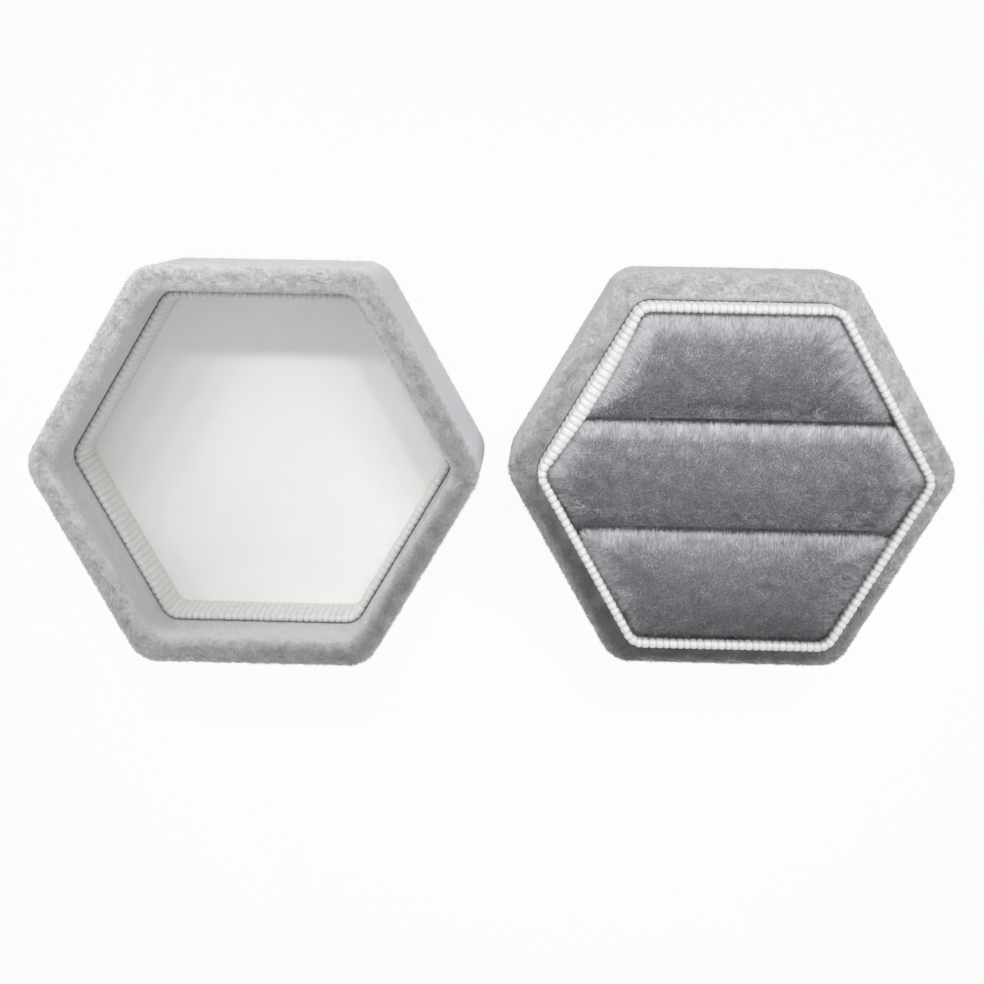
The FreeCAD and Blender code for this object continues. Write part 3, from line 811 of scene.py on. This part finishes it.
def roll_lay(place, points, up, inset):
    """How the nap lies on a roll: brushed flat on borders that face the rear, upright on those to the front.
    The
    same shares set painted light: borders that face the rear and the lamps are painted paler, and so are the
    front edges.

    edge = smooth step of 1 - inset / width, narrower at a slot; rearward joins the place across the roll
    with the way the border faces; laid_and_lit = edge * (0.47 + 0.6 * rearward), upright_and_lit = edge *
    -0.7 * rearward.
    """
    slot = np.clip(-up[..., 1] * 4 - 3, 0, 1) * (place != "rear")
    edge = np.clip(1 - inset / (4.2 - 2.6 * slot), 0, 1)
    edge = edge * edge * (3 - 2 * edge)
    middle = {"rear": 14.2, "middle": 0.0, "front": -14.2}[place]
    rearward = (points[..., 1] - middle) / 6.8 * 0.35 - 0.65 * (up[..., 1] - 0.35 * up[..., 0])
    laid_and_lit = edge * np.clip(0.47 + 0.60 * rearward, 0, 1)
    upright_and_lit = edge * np.clip(-0.7 * rearward, 0, 1)
    return slot, edge, laid_and_lit, upright_and_lit


def ridged_piece(name, grid):
    """A closed piece from a roll's grid: welded along its ridge, with a pole under its foot."""
    points, quads, narrow, joined = weld(grid)
    foot = pole_faces(joined[:grid.shape[1]], len(points), True)
    points = np.concatenate([points, grid[:1].mean(axis=1)])
    return make_piece(name, points, quads, narrow, foot), joined


# A roll's pile: the tone of its top, and the painted light that a border facing the rear and the front edge
# add.
ROLL_TONES_AND_LIGHT = {"rear": (0.49, 0.44, 0.5), "middle": (0.45, 0.49, 0.6), "front": (0.44, 0.49, 0.25)}


def velvet_roll(place, seed):
    """Foam core, velvet wrap and pile of one roll, with painted light on its borders.

    direction = out * (1 - upright_and_lit) + z * upright_and_lit + nap - (0.9 * laid_and_lit + 1.5 *
    sleek_and_lit) * up, where nap leans to the rear and sleek_and_lit is the rear roll's left border, which
    is thinner, flatter and painted paler.
    """
    core, _ = ridged_piece(f"roll_core_{place}", roll_form(place, roll_section(1.6), BASE_X))
    core.data.materials.append(foam_cells)
    grid = roll_form(place, roll_section(0.75), BASE_X)
    grid = swollen(grid)
    cover, joined = ridged_piece(f"roll_cover_{place}", grid)
    cover.data.materials.append(roll_backing)
    side = np.roll(grid, -1, axis=1) - np.roll(grid, 1, axis=1)
    side /= np.maximum(np.linalg.norm(side, axis=-1, keepdims=True), 1e-9)
    normals = grid_normals(grid)
    out = even_round(normals, 60)
    up = even_round(np.cross(normals, side), 60)
    lay = np.stack(roll_lay(place, grid, up, roll_section(0.0)[:, 0:1]), axis=-1)
    # The rear roll's left border: its fibres are thinner and flatter, and painted paler.
    sleek_and_lit = (place == "rear") * lay[..., 2] * np.clip(1.6 * up[..., 0], 0, 1)
    # Painted light on the backing: paler on borders that face the rear and on the rear roll's left border,
    # not deep in the slots.
    nap = np.zeros(len(cover.data.vertices))
    nap[joined] = ((0.67 * lay[..., 2] * (1 - 0.5 * lay[..., 0]) + 0.4 * sleek_and_lit)
                   * np.clip((grid[..., 2] - 22) / 3, 0, 1)).ravel()
    carry_tone_and_light(cover, nap)
    dense = np.interp(np.arange(len(grid)), (8, 9, 10, 11), (0.0, 16.0, 16.0, 60.0))
    between, _, _, rng = scatter_roots(grid, dense[:, None] * (1 - 0.6 * sleek_and_lit), seed)
    roots, out, up = between(grid), between(out), between(up)
    out /= np.linalg.norm(out, axis=-1, keepdims=True)
    slot, edge, laid_and_lit, upright_and_lit = between(lay).T
    count = len(roots)
    nap = np.stack([0.10 * ripple(roots, 5.0, seed + 1) + 0.10 * ripple(roots, 1.0, seed + 5),
                    0.30 + 0.08 * ripple(roots, 2.2, seed + 2) + 0.08 * ripple(roots, 0.9, seed + 6),
                    np.zeros(count)], axis=-1)
    stand = upright_and_lit[:, None]
    out = out * (1 - 0.5 * stand) + stand * (0, 0, 0.5)
    out /= np.linalg.norm(out, axis=-1, keepdims=True)
    sleek_and_lit = between(sleek_and_lit[..., None])
    direction = out * (1 - stand) + stand * (0, 0, 1) + nap - (0.9 * laid_and_lit[:, None] + 1.5 * sleek_and_lit) * up
    direction += rng.normal(0, 0.10, (count, 3))
    direction /= np.linalg.norm(direction, axis=-1, keepdims=True)
    length = rng.uniform(0.65, 0.90, count) + 0.35 * edge
    width = rng.uniform(0.08, 0.11, count)
    ground, border, front = ROLL_TONES_AND_LIGHT[place]
    tone = ground + 0.10 * ripple(roots, 2.0, seed + 3) + 0.10 * ripple(roots, 0.6, seed + 4)
    # Painted light: paler borders that face the rear, less at a slot, paler front edges and a paler rear left
    # border; the noise is the pile's own tone.
    tone += (border - 0.42 * slot) * laid_and_lit + front * upright_and_lit + 0.3 * sleek_and_lit[:, 0] + rng.normal(0, 0.15, count)
    pile = make_pile(f"roll_pile_{place}", roots, out, direction, length, width, tone, rng)
    pile.data.materials.append(roll_pile)
    for piece in (core, cover, pile):
        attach(piece, "base")
    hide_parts(f"roll_foam_{place}")
    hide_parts(f"roll_velvet_{place}")


for number, place in enumerate(("rear", "middle", "front")):
    velvet_roll(place, 50 + 10 * number)


# Lid ceiling: a card on the inside of the lid's top, soft wadding on it and smooth white satin stretched
# over both and turned down round the edge, inside the ribbon. The card keeps its CAD shape.

dress_node("lid_pad_card", board_finish)


def ceiling_section(low, skin):
    """Section of the padded ceiling from its lower edge to its middle as (flat, z), kept back by a skin.

    Shoulder: flat = edge - r (1 - cos), z = top - crown - r (1 - sin). The crown falls with the square of
    the reach.
    """
    edge, top, crown, shoulder = 21.24 - skin, 9.2 - skin, 0.4, 0.3
    rows = [(edge - 0.2, low), (edge - 0.1, (low + top - crown - shoulder) / 2)]
    rows += [(edge - shoulder * (1 - np.cos(a)), top - crown - shoulder * (1 - np.sin(a)))
             for a in arc(0, 90, 10)]
    reach = np.linspace(edge - shoulder, 1.0, 22)
    rows += [(r, top - crown * (r / (edge - shoulder)) ** 2) for r in reach]
    return np.array(rows)


def ceiling_grid(section, columns):
    """The ceiling's section carried round the six-sided plan."""
    turn = np.arange(columns)[None, :] * 6 / columns
    plan = six_sided(section[:, 0:1], 1.4 * section[:, 0:1] / 20.95, turn)
    level = np.broadcast_to(section[:, 1:2], plan.shape[:2])[..., None]
    grid = np.concatenate([plan, level], axis=-1)
    grid[..., 0] += LID_X
    return grid


def satin_finish():
    """Smooth satin: fine slanted threads, a soft gloss and a slight tone change."""
    material, tree, shader, place = new_material("white_satin")
    tone = add_speckle(tree, place, 160.0, (0.885, 0.88, 0.87), (0.90, 0.897, 0.89), 0.3, 0.7, 2.0)
    turned = add_node(tree, "ShaderNodeMapping", {"Vector": place, "Rotation": (0.0, 0.0, 0.6)})
    thread = add_node(tree, "ShaderNodeTexWave",
                      {"Vector": turned.outputs["Vector"], "Scale": 1500.0, "Distortion": 1.5, "Detail": 2.0},
                      wave_type="BANDS", bands_direction="X")
    tree.links.new(tone.outputs["Color"], shader.inputs["Base Color"])
    shader.inputs["Roughness"].default_value = 0.5
    shader.inputs["Specular IOR Level"].default_value = 0.3
    shader.inputs["Sheen Weight"].default_value = 0.1
    add_bump(tree, shader, thread.outputs["Fac"], 0.12, 0.00003)
    return material


wadding_grid = ceiling_grid(np.vstack([[(4.0, 4.22), (18.0, 4.22)], ceiling_section(4.25, 0.55)]), 120)
wadding = closed_grid("lid_wadding_pad", wadding_grid)
wadding.data.materials.append(foam_cells)
outside = ceiling_grid(ceiling_section(3.05, 0.0), 360)
pull = 0.012 * ripple(outside * (1, 1, 0.3), 5.0, 90) * np.clip((outside[..., 2:3] - 5) / 4, 0, 1)[..., 0]
outside = outside + grid_normals(outside) * pull[..., None]
inside = ceiling_grid(ceiling_section(3.05, 0.3), 360)[::-1]
satin = closed_grid("lid_satin_cover", np.concatenate([inside, outside]))
satin.data.materials.append(satin_finish())
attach(wadding, "lid")
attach(satin, "lid")
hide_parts("lid_pad_wadding")
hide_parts("lid_pad_satin")


# Stage: a plain white floor, a row of soft keys from the rear for each half, one more low over the lid, an
# even white sky and the camera straight above and a little behind, as in the photograph.


def seen_directly(tree):
    """1 for rays from the camera and in gloss, 0 for the light that falls on the object."""
    path = tree.nodes.new("ShaderNodeLightPath")
    seen = add_node(tree, "ShaderNodeMath",
                    {0: path.outputs["Is Camera Ray"], 1: path.outputs["Is Glossy Ray"]}, operation="MAXIMUM")
    return seen.outputs[0]


def white_floor():
    """White to the camera and in gloss, with a trace of the shadow; plain white diffuse to other light."""
    material, tree, shader, _ = new_material("white_floor")
    shader.inputs["Base Color"].default_value = (0.85, 0.85, 0.85, 1)
    shader.inputs["Roughness"].default_value = 1.0
    glow = add_node(tree, "ShaderNodeEmission", {"Color": (1, 1, 1, 1), "Strength": 1.0})
    share = add_node(tree, "ShaderNodeMath", {0: seen_directly(tree), 1: 0.93}, operation="MULTIPLY")
    mixed = add_node(tree, "ShaderNodeMixShader",
                     {0: share.outputs[0], 1: shader.outputs["BSDF"], 2: glow.outputs["Emission"]})
    tree.links.new(mixed.outputs["Shader"], tree.nodes["Material Output"].inputs["Surface"])
    return material


corners = np.array([[-1.0, -1.0, 0.0], [1.0, -1.0, 0.0], [1.0, 1.0, 0.0], [-1.0, 1.0, 0.0]]) * 2000
floor = make_piece("floor", corners, np.array([[0, 1, 2, 3]]))
floor.data.materials.append(white_floor())


def white_sky():
    """An even white sky: full white to the camera and in gloss, a little less as light."""
    world = bpy.data.worlds.new("white_sky")
    world.use_nodes = True
    tree = world.node_tree
    strength = add_node(tree, "ShaderNodeMix", {"Factor": seen_directly(tree), "A": 0.72, "B": 1.0})
    tree.links.new(strength.outputs["Result"], tree.nodes["Background"].inputs["Strength"])
    tree.nodes["Background"].inputs["Color"].default_value = (1, 1, 1, 1)
    return world


bpy.context.scene.world = white_sky()


def look_from(place, way):
    """Placement of a lamp at a place that shines along a direction."""
    side = np.cross(way, (0.0, 0.0, 1.0))
    side /= np.linalg.norm(side)
    over = np.cross(side, way)
    return Matrix([[side[i], over[i], -way[i], place[i]] for i in range(3)] + [[0, 0, 0, 1]])


def soft_key(name, aim, back, power):
    """A soft lamp aimed at one half of the box: place = aim + back."""
    lamp = bpy.data.lights.new(name, "SPOT")
    lamp.energy = power
    lamp.shadow_soft_size = 0.04
    lamp.spot_size = np.radians(6.4)
    lamp.spot_blend = 0.12
    back = np.array(back)
    holder = bpy.data.objects.new(name, lamp)
    holder.matrix_world = look_from(np.array(aim) + back, -back / np.linalg.norm(back))
    bpy.context.scene.collection.objects.link(holder)


for number, sideways in enumerate((-0.34, -0.20, -0.06, 0.06)):
    soft_key(f"key_lid_{number}", (-0.031, 0.0, 0.015), (sideways, 0.31, 0.515), 1.7)
for number, sideways in enumerate((0.04, 0.14, 0.24)):
    soft_key(f"key_base_{number}", (0.031, 0.0, 0.015), (sideways, 0.31, 0.515), 3.6)
soft_key("key_lid_low", (-0.031, 0.0, 0.015), (-0.30, 0.62, 0.12), 7.0)

camera = bpy.data.objects.new("camera", bpy.data.cameras.new("camera"))
camera.data.lens = 71.2
camera.data.clip_start = 0.01
right = (0.99940, 0.01706, -0.03008)
over = (-0.02161, 0.98722, -0.15791)
back = (0.02700, 0.15847, 0.98699)
eye = (0.006656, 0.037220, 0.271574)
camera.matrix_world = Matrix([[right[i], over[i], back[i], eye[i]] for i in range(3)] + [[0, 0, 0, 1]])
bpy.context.scene.collection.objects.link(camera)
bpy.context.scene.camera = camera
bpy.context.scene.view_settings.view_transform = "Standard"
